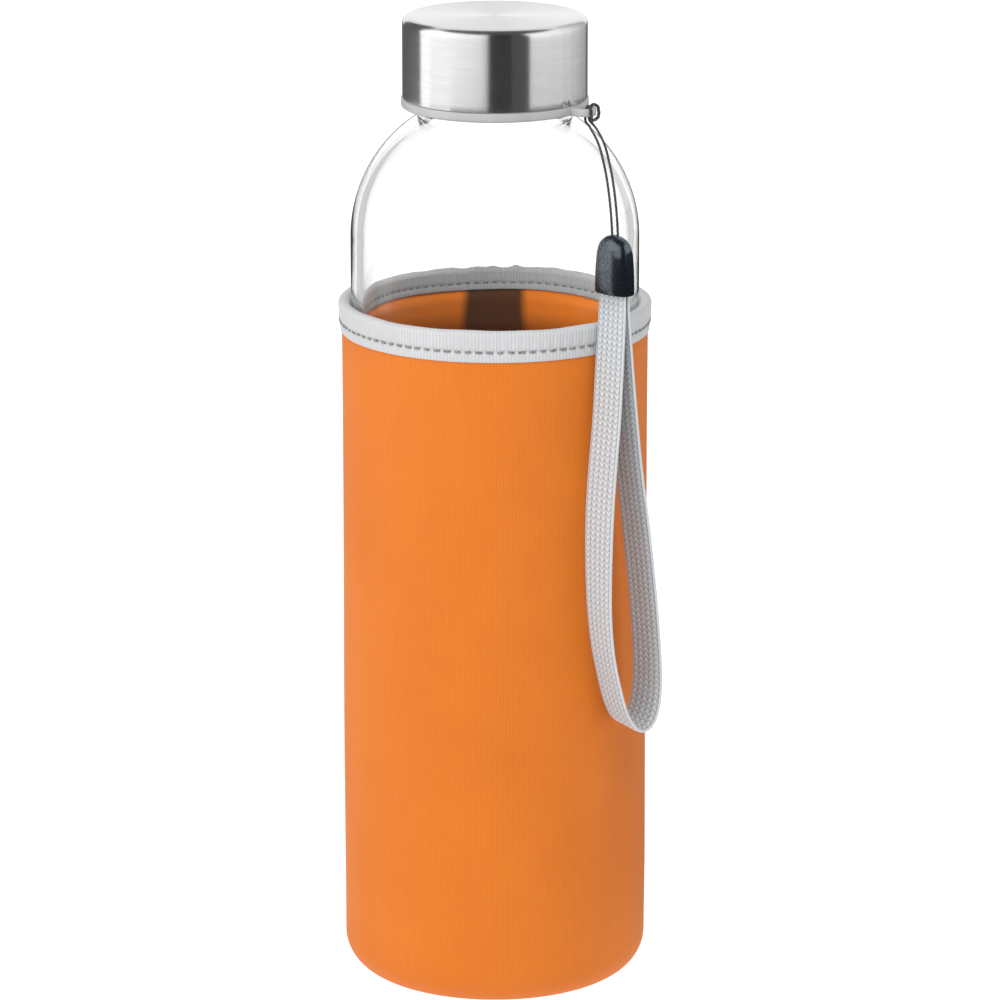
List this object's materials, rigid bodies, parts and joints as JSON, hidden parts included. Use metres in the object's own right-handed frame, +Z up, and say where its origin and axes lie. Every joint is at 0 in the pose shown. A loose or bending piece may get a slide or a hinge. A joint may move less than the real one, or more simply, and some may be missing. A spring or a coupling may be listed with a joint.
{
  "type": "glass water bottle",
  "caption": "Tall round glass water bottle with a brushed steel screw cap, a snug fabric sleeve and a hanging strap lanyard on the cap.",
  "frame": {"origin": "centre of the sleeve's base, on the surface that the bottle stands on", "axes": "+Z up along the bottle's axis; the lanyard hangs on the +X side, turned towards -Y"},
  "size_m": [0.0721, 0.0714, 0.22],
  "materials": {
    "glass": "clear polished",
    "silicone": "translucent matte",
    "steel": "brushed around",
    "grey_plastic": "satin",
    "string": "twisted",
    "black_plastic": "satin",
    "strap": "flat woven",
    "sleeve_fabric": "knit faced foam",
    "binding": "woven tape",
    "thread": "sewn",
    "seam_thread": "sewn"
  },
  "bodies": {
    "sleeve": {"sleeve_wall": "sleeve_fabric", "sleeve_base": "sleeve_fabric", "sleeve_binding": "binding", "binding_stitches": "thread", "side_seam": "seam_thread", "base_seam": "seam_thread"},
    "bottle": {"bottle_glass": "glass"},
    "seal": {"cap_seal": "silicone"},
    "cap": {"cap_shell": "steel", "cap_liner": "grey_plastic", "lanyard_knot": "string"},
    "lanyard": {"lanyard_string": "string", "ferrule": "black_plastic", "lanyard_strap": "strap"}
  },
  "joints": [
    {"name": "bottle_lift", "type": "slide", "parent": "sleeve", "child": "bottle", "axis": [0, 0, 1], "range_m": [0, 0.18]},
    {"name": "cap_lift", "type": "slide", "parent": "bottle", "child": "seal", "axis": [0, 0, 1], "range_m": [0, 0.0201]},
    {"name": "cap_turn", "type": "hinge", "parent": "seal", "child": "cap", "pos_m": [0, 0, 0.2], "axis": [0, 0, 1], "range_deg": [0, 1800]},
    {"name": "lanyard_swing", "type": "hinge", "parent": "cap", "child": "lanyard", "pos_m": [0.02225, -0.0172, 0.1966], "axis": [-0.9533, -0.3021, 0], "range_deg": [0, 110]}
  ],
  "couplings": [
    {"joint": "cap_lift", "follows": "cap_turn", "m_per_rad": 0.00063662}
  ]
}
